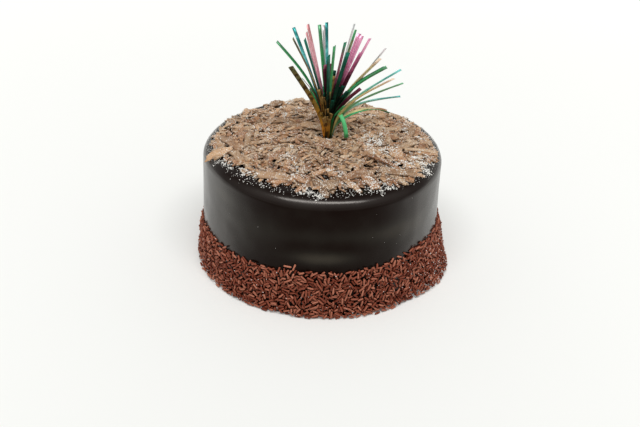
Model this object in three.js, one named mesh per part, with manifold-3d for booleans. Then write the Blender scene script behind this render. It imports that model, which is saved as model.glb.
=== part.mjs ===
// A small round celebration cake under a dark chocolate glaze. Chocolate shavings cover its top, a
// thick band of chocolate sprinkles covers its foot, and a spray of metallised foil strips on a
// pointed stick is pushed into the middle of the top.
//
// Millimetres, +Z up, origin at the centre of the flat underside. The front faces -Y.

import * as THREE from 'three';
import { mergeVertices } from 'three/addons/utils/BufferGeometryUtils.js';
import Module from 'manifold-3d';

const { clamp, degToRad } = THREE.MathUtils;

// ---- Driving dimensions ---------------------------------------------------------------------

// The glazed body: its wall leans out a little from the rounded top edge to the foot.
const height = 81;
const topRadius = 79;
const footRadius = 82.5;
const edgeRound = 7;
const wallSteps = 84;
const wallWave = 0.6;

// The sprinkle band: how high it climbs at the front, how much higher it climbs at the right, how
// much lower it is round the back, how far it stands out from the glaze, and the pile of sprinkles
// that has slipped down at the right.
const band = {
  height: 34,
  climb: 5.5,
  climbAngle: degToRad(-20),
  drop: 5.5,
  dropStart: -0.3,
  dropRun: 0.35,
  ragged: 1.5,
  depth: 2.2,
  bump: 1.2,
};
const pile = { depth: 3.4, angle: degToRad(-20), width: degToRad(26), height: 30 };
const sprinkle = {
  count: 106,
  radius: 0.85,
  length: 5.4,
  sides: 5,
  out: 0.7,
  tip: degToRad(25),
  lift: 0.1,
  over: 1,
};

// The shavings: a ragged bed of them, which reaches further out at the back, with the largest curls
// lying loose on it and a little past it. A curl keeps a share of its slab's width, give or take
// its rag at each side. Each is tipped a little both ways, lies between two heights over the bed,
// and stays within a margin of the rim.
const bed = { radius: 66, ragged: 4, reach: 2, depth: 1.2, spill: 3 };
const shaving = {
  count: 100,
  length: [9, 24],
  width: [3.5, 6.5],
  thickness: 1.2,
  curl: 1.6,
  widthShare: 0.75,
  rag: 0.3,
};
const shavingLie = { roll: degToRad(16), pitch: degToRad(12), height: [0.4, 1.7], rimMargin: 3 };

// The foil pick: where it stands on the top, its stick and its tied bundle.
const pick = { x: 2, y: 5, stickRadius: 1.5, stickDepth: 45, point: 6, footGap: 0.4, sides: 12 };
const bundle = { footRadius: 2.2, neckRadius: 3.8, neckHeight: 17, height: 30, sides: 9 };
const foil = { width: 2.2, thickness: 0.5, steps: 3, droopSteps: 6 };
const clearance = 0.3;
const pit = { radius: 5.6, margin: 3.5, height: 9, flare: 1, sides: 16 };

// How a strip leaves the bundle: how far out its foot stands, how much further out its knee is for
// each millimetre of the knee's height, and how far along the way to its tip it is still bending.
const bend = { foot: 3, spread: 0.25, share: 0.35 };
// Where a strip that has bent right over stands, rises and comes down, as shares of its reach.
const droopShares = { foot: 0.05, rise: 0.1, over: 0.75 };

// Where the shapes that come from random numbers start.
const seed = 20;

// Its strips, from left to right. The angles are in degrees: each strip leans over to the right
// of upright, and back from the front, and its face is turned away from the front. Its knee is
// the height at which it leaves the bundle.
const strips = [
  { lean: -26.5, back: -5, length: 75, turn: 50, knee: 34 },
  { lean: -20, back: -25, length: 69, turn: 5, knee: 18 },
  { lean: -21.6, back: -6, length: 47, turn: -58, knee: 26 },
  { lean: -18, back: 3, length: 77, turn: 15, knee: 22 },
  { lean: -17.5, back: -8, length: 75, turn: 50, knee: 30 },
  { lean: -12, back: -14, length: 77, turn: 56, knee: 24 },
  { lean: -11, back: 0, length: 78, turn: 58, knee: 24 },
  { lean: -11.4, back: -8, length: 77, turn: 50, knee: 24 },
  { lean: -6, back: 7, length: 75, turn: 20, knee: 24 },
  { lean: -4, back: 10, length: 74, turn: 55, knee: 24 },
  { lean: -2.5, back: 4, length: 77, turn: 25, knee: 24 },
  { lean: -1, back: -25, length: 75, turn: 40, knee: 24 },
  { lean: 1.5, back: -17, length: 74, turn: 55, knee: 24 },
  { lean: 6.5, back: -13, length: 74, turn: 40, knee: 24 },
  { lean: 8, back: -20, length: 73, turn: 0, knee: 24 },
  { lean: 10.7, back: 9, length: 77, turn: 60, knee: 24 },
  { lean: 11.5, back: 3, length: 75, turn: 30, knee: 24 },
  { lean: 10, back: -10, length: 74, turn: 45, knee: 24 },
  { lean: 13.8, back: 4, length: 73, turn: 28, knee: 24 },
  { lean: 15.1, back: 1, length: 73, turn: 20, knee: 24 },
  { lean: 18.4, back: -4, length: 75, turn: 36, knee: 24 },
  { lean: 25.9, back: -10, length: 76, turn: 42, knee: 20 },
  { lean: 24.6, back: -16, length: 72, turn: 12, knee: 28 },
  { lean: 27.5, back: -22, length: 73, turn: -20, knee: 34 },
  { lean: 28.6, back: -18, length: 69, turn: -22, knee: 34 },
  { lean: 39, back: -10, length: 70, turn: 15, knee: 24 },
  { lean: 36.9, back: -18, length: 66, turn: 12, knee: 24 },
  { lean: 44, back: -15, length: 66, turn: 22, knee: 24 },
  { lean: 51.7, back: -12, length: 58, turn: -10, knee: 26 },
];

// Shorter strips fill the front of the bundle.
const shortStrips = [
  { lean: -9, back: -14, length: 40, turn: 15, knee: 18 },
  { lean: -4, back: -8, length: 52, turn: 10, knee: 22 },
  { lean: -0.3, back: -11, length: 57, turn: 0, knee: 24 },
  { lean: 2.5, back: -12, length: 49, turn: 5, knee: 20 },
  { lean: 16.6, back: -7, length: 66, turn: 25, knee: 24 },
  { lean: 16.7, back: -15, length: 41, turn: -10, knee: 22 },
  { lean: 23.4, back: -20, length: 49, turn: -20, knee: 22 },
];

// Strips that the front ones hide are fanned out evenly and lean to the back.
const rear = { count: 7, lean: [-15, 19], back: [14, 40], length: [42, 52], knee: 24 };

// Three strips have bent right over. Each is given by its tip, measured from the pick's foot, and
// by the height of its crown.
const droops = [
  { tip: [13, -5, 3.5], crown: 26 },
  { tip: [36, 30, 8], crown: 21 },
  { tip: [43, 23, 7], crown: 19 },
];

// ---- Helpers --------------------------------------------------------------------------------

// Repeatable random shares from 0 to 1.
function seededRandom(seed) {
  let state = seed;
  return () => {
    state = (state + 0x6d2b79f5) >>> 0;
    let mixed = Math.imul(state ^ (state >>> 15), state | 1);
    mixed ^= mixed + Math.imul(mixed ^ (mixed >>> 7), mixed | 61);
    return ((mixed ^ (mixed >>> 14)) >>> 0) / 2 ** 32;
  };
}

const random = seededRandom(seed);

const goldenShare = (Math.sqrt(5) - 1) / 2;

function between([low, high], share) {
  return low + (high - low) * share;
}

function eitherWay(amount) {
  return amount * (2 * random() - 1);
}

// A geometry that keeps only its shared corners.
function sharedCorners(geometry) {
  geometry.deleteAttribute('normal');
  geometry.deleteAttribute('uv');
  return mergeVertices(geometry);
}

// Moves every corner of a geometry by a rule.
function warp(geometry, move) {
  const shared = sharedCorners(geometry);
  const position = shared.getAttribute('position');
  const corner = new THREE.Vector3();
  for (let i = 0; i < position.count; i += 1) {
    corner.fromBufferAttribute(position, i);
    move(corner);
    position.setXYZ(i, corner.x, corner.y, corner.z);
  }
  return shared;
}

const wasm = await Module();
wasm.setup();

function toSolid(geometry) {
  const shared = sharedCorners(geometry);
  const vertProperties = new Float32Array(shared.getAttribute('position').array);
  const triVerts = new Uint32Array(shared.getIndex().array);
  return new wasm.Manifold(new wasm.Mesh({ numProp: 3, vertProperties, triVerts }));
}

function joined(solids) {
  return wasm.Manifold.union(solids);
}

// Joining leaves some loose scraps, which are dropped.
function largestPiece(solid) {
  const pieces = solid.decompose();
  pieces.sort((a, b) => b.volume() - a.volume());
  return pieces[0];
}

function toMesh(solid, name, material) {
  const { vertProperties, triVerts } = solid.getMesh();
  const geometry = new THREE.BufferGeometry();
  geometry.setAttribute('position', new THREE.BufferAttribute(vertProperties, 3));
  geometry.setIndex(new THREE.BufferAttribute(triVerts, 1));
  geometry.computeVertexNormals();
  const mesh = new THREE.Mesh(geometry, material);
  mesh.name = name;
  return mesh;
}

// ---- The glazed body with its band and its bed ------------------------------------------------

function wallRadius(z) {
  return footRadius + ((topRadius - footRadius) * z) / (height - edgeRound);
}

// The pour of the glaze is a little thicker in some places than in others.
function glazeWave(angle, z) {
  const level = z / height;
  return wallWave * (Math.cos(3 * angle + 1.9 + 2.2 * level) * 0.6
    + Math.cos(5 * angle - 0.7 - 3.1 * level) * 0.4);
}

// The top line of the sprinkle band climbs towards the right-hand side, and is lower round the back.
function bandTop(angle) {
  const climb = band.climb * (0.5 + 0.5 * Math.cos(angle - band.climbAngle)) ** 2;
  const ragged = band.ragged * (Math.cos(7 * angle + 0.4) + Math.cos(12 * angle + 2)) * 0.5;
  const behind = clamp((Math.sin(angle) - band.dropStart) / band.dropRun, 0, 1);
  return band.height + climb + ragged - band.drop * behind;
}

function pileOut(angle, z) {
  const aside = Math.atan2(Math.sin(angle - pile.angle), Math.cos(angle - pile.angle));
  const near = Math.max(0, 1 - (aside / pile.width) ** 2);
  return pile.depth * near * Math.max(0, 1 - z / pile.height);
}

function bandRadius(angle, z) {
  return wallRadius(z) + band.depth + pileOut(angle, z);
}

function bedEdge(angle) {
  const ragged = bed.ragged * (Math.cos(4 * angle + 1) + Math.cos(9 * angle)) * 0.5;
  return bed.radius + ragged + bed.reach * (1 + Math.sin(angle));
}

// The outline is turned about the upright axis. Then the band rows are spread over the band and
// made bumpy, the bed rows follow the ragged edge of the bed, and the wall rows fill what lies
// between them.
function bodySolid() {
  const bandRows = 7;
  const wallRows = 2;
  const edgeRows = 4;
  const outline = [new THREE.Vector2(0, 0)];
  for (let row = 0; row <= bandRows; row += 1) {
    const z = (band.height * row) / bandRows;
    outline.push(new THREE.Vector2(wallRadius(z) + band.depth, z));
  }
  const wallTop = height - edgeRound;
  for (let row = 0; row < wallRows; row += 1) {
    const z = band.height + 1 + ((wallTop - band.height - 1) * row) / wallRows;
    outline.push(new THREE.Vector2(wallRadius(z), z));
  }
  for (let row = 0; row <= edgeRows; row += 1) {
    const around = ((Math.PI / 2) * row) / edgeRows;
    const r = topRadius - edgeRound + edgeRound * Math.cos(around);
    outline.push(new THREE.Vector2(r, wallTop + edgeRound * Math.sin(around)));
  }
  outline.push(new THREE.Vector2(bed.radius, height + bed.depth));
  outline.push(new THREE.Vector2(0, height + bed.depth));

  const turned = new THREE.LatheGeometry(outline, wallSteps);
  turned.rotateX(Math.PI / 2);
  return toSolid(warp(turned, (corner) => {
    const angle = Math.atan2(corner.y, corner.x);
    let radius = Math.hypot(corner.x, corner.y);
    const share = corner.z / band.height;
    if (corner.z > height + bed.depth / 2) {
      radius *= bedEdge(angle) / bed.radius;
    } else if (share > 1.001) {
      const left = (wallTop - corner.z) / (wallTop - band.height);
      corner.z += Math.max(0, left) * (bandTop(angle) - band.height);
      radius += glazeWave(angle, corner.z);
    } else if (radius > topRadius) {
      corner.z = share * bandTop(angle);
      radius = bandRadius(angle, corner.z) + eitherWay(band.bump);
    }
    corner.x = radius * Math.cos(angle);
    corner.y = radius * Math.sin(angle);
  }));
}

// ---- Shavings and sprinkles -------------------------------------------------------------------

// A thin slab with ragged sides, bowed along its length, which lies along X.
function shavingGeometry(length, width) {
  const slab = new THREE.BoxGeometry(length, width, shaving.thickness, 2, 1, 1);
  const bow = shaving.curl * random();
  const rag = [0, 0, 0, 0].map(() => eitherWay(shaving.rag));
  return warp(slab, (corner) => {
    const along = (2 * corner.x) / length;
    const side = Math.sign(corner.y);
    const pinch = side > 0 ? rag[0] + rag[1] * along : rag[2] + rag[3] * along;
    corner.y *= shaving.widthShare + pinch;
    corner.x += side * width * rag[1];
    corner.z += bow * (0.5 - along * along);
  });
}

// The curls lie on a sunflower pattern, which spreads them evenly over the round bed. None of them
// reaches past the rounded edge, or into the pick.
function shavingSolids() {
  const solids = [];
  for (let i = 0; i < shaving.count; i += 1) {
    const angle = 2 * Math.PI * goldenShare * i;
    const length = between(shaving.length, 1 - random() ** 1.6);
    const heading = Math.PI * random();
    const slab = shavingGeometry(length, between(shaving.width, random()));
    slab.rotateX(eitherWay(shavingLie.roll));
    slab.rotateY(eitherWay(shavingLie.pitch));
    slab.rotateZ(heading);
    const alongRim = Math.abs(Math.cos(heading - angle));
    const reach = topRadius - shavingLie.rimMargin - (length / 2) * alongRim;
    const spread = Math.sqrt((i + 0.5) / shaving.count) * (bedEdge(angle) + bed.spill);
    const radius = Math.min(spread, reach);
    const x = radius * Math.cos(angle);
    const y = radius * Math.sin(angle);
    slab.translate(x, y, height + bed.depth + between(shavingLie.height, random()));
    if (Math.hypot(x - pick.x, y - pick.y) > pit.radius + pit.margin) {
      solids.push(toSolid(slab));
    }
  }
  return solids;
}

// The sprinkles stand half out of the band, spread evenly round it and up it. Each starts upright,
// is tipped out of the wall a little and then leans along it, and none reaches below the foot.
function sprinkleSolids() {
  const solids = [];
  const straight = sprinkle.length - 2 * sprinkle.radius;
  for (let i = 0; i < sprinkle.count; i += 1) {
    const angle = 2 * Math.PI * goldenShare * i;
    const lean = Math.PI * random();
    const grain = new THREE.CapsuleGeometry(sprinkle.radius, straight, 1, sprinkle.sides);
    grain.rotateX(Math.PI / 2);
    grain.rotateY(eitherWay(sprinkle.tip));
    grain.rotateX(lean);
    const lowest = sprinkle.radius + (straight / 2) * Math.abs(Math.cos(lean)) + sprinkle.lift;
    const z = Math.max(lowest, ((i + 0.5) / sprinkle.count) * (bandTop(angle) + sprinkle.over));
    grain.translate(bandRadius(angle, z) + sprinkle.out, 0, z);
    grain.rotateZ(angle);
    solids.push(toSolid(grain));
  }
  return solids;
}

// ---- The foil pick -----------------------------------------------------------------------------

const pickFoot = new THREE.Vector3(pick.x, pick.y, height + pick.footGap);

// A strip rises in the bundle, leaves it at its knee, and runs nearly straight to its tip.
function stripCurve({ lean, back, length, knee }) {
  const aim = new THREE.Vector3(
    Math.sin(degToRad(lean)),
    Math.cos(degToRad(lean)) * Math.sin(degToRad(back)),
    Math.cos(degToRad(lean)) * Math.cos(degToRad(back)),
  );
  const outward = new THREE.Vector3(aim.x, aim.y, 0);
  const start = outward.clone().multiplyScalar(bend.foot);
  start.z = foil.width / 2;
  const leave = outward.clone().multiplyScalar(bend.foot + bend.spread * knee);
  leave.z = knee;
  const tip = aim.clone().multiplyScalar(length);
  return new THREE.CubicBezierCurve3(start, leave, leave.clone().lerp(tip, bend.share), tip);
}

function droopCurve({ tip, crown }) {
  const end = new THREE.Vector3(...tip);
  const towards = (share, z) => new THREE.Vector3(end.x * share, end.y * share, z);
  const start = towards(droopShares.foot, foil.width / 2);
  const rise = towards(droopShares.rise, crown);
  const over = towards(droopShares.over, crown);
  return new THREE.CubicBezierCurve3(start, rise, over, end);
}

// A long thin box is bent along the curve, its face turned about the curve.
function ribbonSolid(curve, turn, steps) {
  const box = new THREE.BoxGeometry(foil.width, foil.thickness, 1, 1, 1, steps);
  const front = new THREE.Vector3(Math.cos(degToRad(turn)), Math.sin(degToRad(turn)), 0);
  const ribbon = warp(box, (corner) => {
    const share = corner.z + 0.5;
    const along = curve.getTangent(share);
    const across = front.clone().addScaledVector(along, -front.dot(along)).normalize();
    const through = along.clone().cross(across);
    const centre = curve.getPoint(share);
    centre.addScaledVector(across, corner.x).addScaledVector(through, corner.y);
    corner.copy(centre);
  });
  return toSolid(ribbon);
}

function stickSolid() {
  const { stickRadius, stickDepth, point } = pick;
  const outline = [
    new THREE.Vector2(0, -stickDepth),
    new THREE.Vector2(stickRadius, point - stickDepth),
    new THREE.Vector2(stickRadius, 1),
    new THREE.Vector2(0, 1),
  ];
  return toSolid(new THREE.LatheGeometry(outline, pick.sides).rotateX(Math.PI / 2));
}

function bundleSolid() {
  const outline = [
    new THREE.Vector2(0, 0),
    new THREE.Vector2(bundle.footRadius, 0),
    new THREE.Vector2(bundle.neckRadius, bundle.neckHeight),
    new THREE.Vector2(0, bundle.height),
  ];
  return toSolid(new THREE.LatheGeometry(outline, bundle.sides).rotateX(Math.PI / 2));
}

function pickSolid() {
  const solids = [stickSolid(), bundleSolid()];
  for (const strip of [...strips, ...shortStrips]) {
    solids.push(ribbonSolid(stripCurve(strip), strip.turn, foil.steps));
  }
  for (let i = 0; i < rear.count; i += 1) {
    const strip = {
      lean: between(rear.lean, (i + 0.5) / rear.count),
      back: between(rear.back, random()),
      length: between(rear.length, random()),
      knee: rear.knee,
    };
    solids.push(ribbonSolid(stripCurve(strip), 180 * random(), foil.steps));
  }
  for (const droop of droops) {
    solids.push(ribbonSolid(droopCurve(droop), 0, foil.droopSteps));
  }
  return largestPiece(joined(solids)).translate(pickFoot.toArray());
}

// The hole that the stick makes, and the small pit that its bundle leaves in the shavings.
function pickHole() {
  const hole = pick.stickRadius + clearance;
  const outline = [
    new THREE.Vector2(0, -pick.stickDepth - 2 * clearance),
    new THREE.Vector2(hole, pick.point - pick.stickDepth - clearance),
    new THREE.Vector2(hole, -pick.footGap),
    new THREE.Vector2(pit.radius, -pick.footGap),
    new THREE.Vector2(pit.radius + pit.flare, pit.height),
    new THREE.Vector2(0, pit.height),
  ];
  const turned = new THREE.LatheGeometry(outline, pit.sides).rotateX(Math.PI / 2);
  return toSolid(turned).translate(pickFoot.toArray());
}

// ---- The cake ----------------------------------------------------------------------------------

const glaze = new THREE.MeshStandardMaterial({ color: '#2a1c17', roughness: 0.35, metalness: 0 });
const foilFinish = new THREE.MeshStandardMaterial({
  color: '#2c8c62',
  roughness: 0.3,
  metalness: 0.8,
});

const dressed = joined([bodySolid(), ...shavingSolids(), ...sprinkleSolids()]);
const cake = largestPiece(dressed.subtract(pickHole()));

const model = new THREE.Group();
model.add(toMesh(cake, 'cake', glaze));
model.add(toMesh(pickSolid(), 'foil_pick', foilFinish));

export default model;
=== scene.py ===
"""A small round chocolate cake: dark poured glaze, shavings and sugar on top, sprinkles round its
foot, and a spray of foil strips on a stick. Sizes are in millimetres until a mesh is made, and the
front faces -Y."""

import math

import bpy
import numpy as np
from mathutils import Matrix, Vector, noise


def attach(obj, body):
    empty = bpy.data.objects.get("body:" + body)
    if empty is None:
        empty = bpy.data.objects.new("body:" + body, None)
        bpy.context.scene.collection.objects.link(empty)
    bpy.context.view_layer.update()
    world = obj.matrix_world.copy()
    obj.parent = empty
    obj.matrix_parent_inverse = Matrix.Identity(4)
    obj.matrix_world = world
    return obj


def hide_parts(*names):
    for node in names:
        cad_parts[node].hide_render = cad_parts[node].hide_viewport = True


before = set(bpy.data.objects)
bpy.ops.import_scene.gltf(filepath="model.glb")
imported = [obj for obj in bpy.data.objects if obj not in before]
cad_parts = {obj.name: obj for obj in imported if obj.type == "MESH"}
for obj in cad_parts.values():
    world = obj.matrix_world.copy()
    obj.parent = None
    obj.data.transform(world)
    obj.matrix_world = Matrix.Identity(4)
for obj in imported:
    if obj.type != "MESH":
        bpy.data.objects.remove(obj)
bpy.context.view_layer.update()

MM = 0.001
FULL_TURN = 2 * math.pi

# ---- The cake's sizes ----

# They are those of its solids, but the band is a little lower and the bed of shavings wider.
HEIGHT = 81.0
TOP_RADIUS = 79.0
FOOT_RADIUS = 82.5
EDGE_ROUND = 7.0
WALL_TOP = HEIGHT - EDGE_ROUND

# The waves in the glaze: how deep they are, and for each its share, how many go round the cake,
# where they start, and how they slant.
WALL_WAVE = 0.6
GLAZE_WAVES = ((0.6, 3, 1.9, 2.2), (0.4, 5, -0.7, -3.1))

# The band of sprinkles: its height, its climb at the right, its low rise in front, its rag, and its
# drop round the back, which starts and runs by the sine of the angle.
BAND_HEIGHT = 31.5
BAND_CLIMB = 7.0
BAND_CLIMB_ANGLE = math.radians(-20)
BAND_CLIMB_POWER = 6
BAND_RISE = 2.5
BAND_RISE_ANGLE = math.radians(-88)
BAND_RISE_WIDTH = math.radians(9)
BAND_RAGGED = 1.5
BAND_DROP = 5.5
BAND_DROP_START = -0.42
BAND_DROP_RUN = 0.35

# The pile of sprinkles that slipped down at the right.
PILE_DEPTH = 3.4
PILE_ANGLE = math.radians(-20)
PILE_WIDTH = math.radians(26)
PILE_HEIGHT = 30.0

# The bed of shavings: its size, the dip in its edge at the front, and the ring where it thins.
BED_RADIUS = 72.0
BED_DEPTH = 2.2
BED_DIP = 6.0
BED_DIP_ANGLE = math.radians(-97)
BED_DIP_WIDTH = math.radians(46)
BED_THINS_FROM = 52.0
BED_THINS_OVER = 18.0

# The pick: where it stands, its stick, which is pointed below, and the size of a strip of foil.
PICK_FOOT = np.array([2.0, 5.0, 81.4])
STICK_RADIUS = 1.5
STICK_DEPTH = 45.0
STICK_POINT = 6.0
STICK_TIP = 0.05
STICK_SIDES = 16
FOIL_WIDTH = 2.2
FOIL_THICKNESS = 0.18

# ---- The camera, as the photograph was taken ----
CAMERA_ELEVATION = math.radians(31.09)
CAMERA_DISTANCE = 500.6
CAMERA_ROLL = math.radians(2.45)
CAMERA_TARGET = Vector((-0.4, 0.0, 25.5))
CAMERA_LENS = 39.88
SENSOR_WIDTH = 36.0


# ---- Forms that several pieces share ----

def wall_radius(z):
    """Radius of the glaze, which leans out towards the foot."""
    return FOOT_RADIUS + (TOP_RADIUS - FOOT_RADIUS) * z / WALL_TOP


def glaze_wave(angle, z):
    """How much thicker the poured glaze is in some places than in others."""
    level = z / HEIGHT
    return WALL_WAVE * sum(share * np.cos(count * angle + start + slant * level)
                           for share, count, start, slant in GLAZE_WAVES)


def band_top(angle):
    """The top line of the sprinkles, which climbs towards the right and is lower round the back."""
    climb = BAND_CLIMB * (0.5 + 0.5 * np.cos(angle - BAND_CLIMB_ANGLE)) ** BAND_CLIMB_POWER
    climb = climb + BAND_RISE * np.exp(-(wrapped(angle - BAND_RISE_ANGLE) / BAND_RISE_WIDTH) ** 2)
    ragged = 0.5 * BAND_RAGGED * (np.cos(7 * angle + 0.4) + np.cos(12 * angle + 2))
    behind = np.clip((np.sin(angle) - BAND_DROP_START) / BAND_DROP_RUN, 0, 1)
    return BAND_HEIGHT + climb + ragged - BAND_DROP * behind


def pile_out(angle, z):
    """How far the sprinkles that slipped down at the right stand out."""
    aside = wrapped(angle - PILE_ANGLE)
    near = np.maximum(0, 1 - (aside / PILE_WIDTH) ** 2)
    return PILE_DEPTH * near * np.maximum(0, 1 - z / PILE_HEIGHT)


def wrapped(angle):
    """The same angle, from minus half a turn to half a turn."""
    return np.arctan2(np.sin(angle), np.cos(angle))


def bed_edge(angle):
    """Where the shavings end, which is nearer the middle at the front."""
    dip = wrapped(angle - BED_DIP_ANGLE) / BED_DIP_WIDTH
    ragged = 0.7 * np.cos(4 * angle + 1) + 1.5 * np.cos(9 * angle + 1.26)
    return BED_RADIUS + ragged - BED_DIP * np.exp(-dip ** 4)


def bed_depth(angle, radius):
    """How thick the shavings lie, thinnest at the rim round the back."""
    outer = np.clip((radius - BED_THINS_FROM) / BED_THINS_OVER, 0, 1)
    return BED_DEPTH * (1 - outer * (0.4 + 0.5 * np.clip(np.sin(angle) + 0.4, 0, 1)))


def top_height(radius):
    """Height of the bare glaze on top, with its rounded edge."""
    over = np.clip(radius - (TOP_RADIUS - EDGE_ROUND), 0, EDGE_ROUND)
    return WALL_TOP + np.sqrt(EDGE_ROUND ** 2 - over ** 2)


# ---- Meshes ----

def make_piece(name, points, faces, material, slot, node, smooth=True, **stored):
    """A mesh piece from points in millimetres, with any extra values stored at its points."""
    mesh = bpy.data.meshes.new(name)
    mesh.from_pydata((np.asarray(points) * MM).tolist(), [], faces)
    for label, values in stored.items():
        values = np.asarray(values, dtype=np.float32)
        single = values.ndim == 1
        layer = mesh.attributes.new(label, "FLOAT" if single else "FLOAT_VECTOR", "POINT")
        layer.data.foreach_set("value" if single else "vector", values.ravel())
    mesh.polygons.foreach_set("use_smooth", [smooth] * len(mesh.polygons))
    mesh.materials.append(material)
    mesh.update()
    piece = bpy.data.objects.new(name, mesh)
    bpy.context.scene.collection.objects.link(piece)
    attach(piece, "root")
    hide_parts(node)


class Heap:
    """Many small things joined in one mesh, with values of its own stored for each."""

    def __init__(self):
        self.points = []
        self.faces = []
        self.stored = {}
        self.count = 0

    def add(self, points, faces, **stored):
        self.points.append(points)
        self.faces += [tuple(corner + self.count for corner in face) for face in faces]
        for label, values in stored.items():
            single = np.ndim(values) == 0
            values = np.full(len(points), values) if single else values
            self.stored.setdefault(label, []).append(values)
        self.count += len(points)

    def piece(self, name, material, slot, node, smooth=True):
        stored = {label: np.concatenate(values) for label, values in self.stored.items()}
        make_piece(name, np.concatenate(self.points), self.faces, material, slot, node, smooth,
                   **stored)


def grid_faces(columns, rows, first=0, flip=False):
    """Faces of a grid of points that are numbered row by row."""
    faces = []
    for row in range(rows - 1):
        for column in range(columns - 1):
            a = first + row * columns + column
            face = (a, a + 1, a + columns + 1, a + columns)
            faces.append(face[::-1] if flip else face)
    return faces


def slab_faces(columns, rows):
    """Faces of a closed slab: a top grid, a bottom grid under it, and the sides between them."""
    below = columns * rows
    faces = grid_faces(columns, rows, flip=True) + grid_faces(columns, rows, below)
    rim = list(range(columns))
    rim += [row * columns + columns - 1 for row in range(1, rows)]
    rim += [(rows - 1) * columns + column for column in range(columns - 2, -1, -1)]
    rim += [row * columns for row in range(rows - 2, 0, -1)]
    for a, b in zip(rim, rim[1:] + rim[:1]):
        faces.append((a, b, b + below, a + below))
    return faces


# ---- Materials ----

class Look:
    """A principled material, with short ways to add nodes to it."""

    def __init__(self, name, **settings):
        self.material = bpy.data.materials.new(name)
        self.material.use_nodes = True
        self.tree = self.material.node_tree
        self.shader = self.tree.nodes["Principled BSDF"]
        for socket, value in settings.items():
            self.shader.inputs[socket.replace("_", " ")].default_value = value

    def join(self, value, socket):
        if isinstance(value, bpy.types.NodeSocket):
            self.tree.links.new(value, socket)
        else:
            socket.default_value = value

    def node(self, kind, **inputs):
        node = self.tree.nodes.new(kind)
        for socket, value in inputs.items():
            self.join(value, node.inputs[socket.replace("_", " ")])
        return node

    def place(self):
        return self.node("ShaderNodeTexCoord").outputs["Object"]

    def stored(self, label):
        node = self.node("ShaderNodeAttribute")
        node.attribute_name = label
        return node

    def scaled(self, vector, scale):
        node = self.node("ShaderNodeMapping", Vector=vector)
        node.inputs["Scale"].default_value = scale
        return node.outputs[0]

    def noise(self, vector, scale, detail=3.0):
        return self.node("ShaderNodeTexNoise", Vector=vector, Scale=scale, Detail=detail).outputs[0]

    def ramp(self, value, stops):
        node = self.node("ShaderNodeValToRGB", Fac=value)
        elements = node.color_ramp.elements
        while len(elements) < len(stops):
            elements.new(1.0)
        for element, (place, colour) in zip(elements, stops):
            element.position = place
            element.color = (*colour, 1)
        return node.outputs["Color"]

    def span(self, value, low, high, start=0.3, end=0.7):
        node = self.node("ShaderNodeMapRange", Value=value)
        limits = {"From Min": start, "From Max": end, "To Min": low, "To Max": high}
        for socket, number in limits.items():
            node.inputs[socket].default_value = number
        return node.outputs["Result"]

    def math(self, operation, *values):
        node = self.node("ShaderNodeMath")
        node.operation = operation
        for value, socket in zip(values, node.inputs):
            self.join(value, socket)
        return node.outputs[0]

    def mixed(self, share, first, second):
        node = self.node("ShaderNodeMix")
        node.data_type = "RGBA"
        for value, label in ((share, "Factor_Float"), (first, "A_Color"), (second, "B_Color")):
            self.join(value, next(socket for socket in node.inputs if socket.identifier == label))
        return next(socket for socket in node.outputs if socket.identifier == "Result_Color")

    def bump(self, height, depth, under=None):
        node = self.node("ShaderNodeBump", Height=height, Strength=1.0, Distance=depth * MM)
        if under is not None:
            self.join(under, node.inputs["Normal"])
        return node.outputs["Normal"]

    def set(self, socket, value):
        self.join(value, self.shader.inputs[socket])


PER_MM = 1 / MM


def glaze_look():
    # The specular tint is a painted warm cast in the glaze's reflections.
    look = Look("glaze", IOR=1.4, Specular_Tint=(1, 0.94, 0.88, 1))
    cloud = look.noise(look.place(), 0.05 * PER_MM, 3)
    fine = look.noise(look.place(), 0.9 * PER_MM, 4)
    # The base colour is made paler by the painted reflections stored at the points, and by random
    # clouds.
    bloom = look.math("ADD", look.stored("bloom").outputs["Fac"], look.span(cloud, -0.05, 0.1))
    look.set("Base Color", look.ramp(bloom, [
        (0.0, (0.006, 0.0024, 0.0016)), (0.3, (0.0155, 0.0125, 0.0098)),
        (1.0, (0.055, 0.047, 0.036))]))
    fresnel = look.node("ShaderNodeFresnel", IOR=1.45).outputs[0]
    grazing = look.span(fresnel, 0.06, 0.95, 0.036, 0.082)
    sheen = look.math("MULTIPLY", grazing, look.stored("sheen").outputs["Fac"])
    look.set("Specular IOR Level", look.math("MAXIMUM", sheen, look.stored("gloss").outputs["Fac"]))
    look.set("Roughness", look.span(cloud, 0.2, 0.3))
    look.set("Normal", look.bump(fine, 0.02))
    return look.material


def shavings_look():
    look = Look("shavings", Roughness=0.6, IOR=1.42)
    grain = look.stored("grain").outputs["Vector"]
    mottle = look.span(look.noise(grain, 0.22, 4), 0.0, 0.3, 0.35, 0.65)
    tone = look.math("MULTIPLY_ADD", look.stored("shade").outputs["Fac"], 0.7, mottle)
    warm = look.ramp(tone, [(0.0, (0.17, 0.065, 0.027)), (0.35, (0.40, 0.19, 0.088)),
                            (0.7, (0.56, 0.33, 0.175)), (1.0, (0.63, 0.42, 0.25))])
    grey = look.ramp(tone, [(0.0, (0.14, 0.075, 0.036)), (0.35, (0.31, 0.195, 0.11)),
                            (0.7, (0.46, 0.325, 0.205)), (1.0, (0.58, 0.45, 0.32))])
    bare = look.mixed(look.span(look.noise(grain, 0.013, 0), 0.12, 0.85, 0.38, 0.62), warm, grey)
    dust = look.math("MULTIPLY", look.span(look.noise(grain, 1.3, 2), 0, 1, 0.54, 0.62),
                     look.span(look.noise(look.place(), 0.12 * PER_MM, 2), 0.1, 0.85, 0.4, 0.62))
    look.set("Base Color", look.mixed(dust, bare, (0.86, 0.79, 0.68, 1)))
    scratch = look.noise(look.scaled(grain, (0.12, 1.6, 1.6)), 1.0, 3)
    pits = look.noise(grain, 1.5, 3)
    look.set("Normal", look.bump(pits, 0.45, under=look.bump(scratch, 0.6)))
    return look.material


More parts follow.
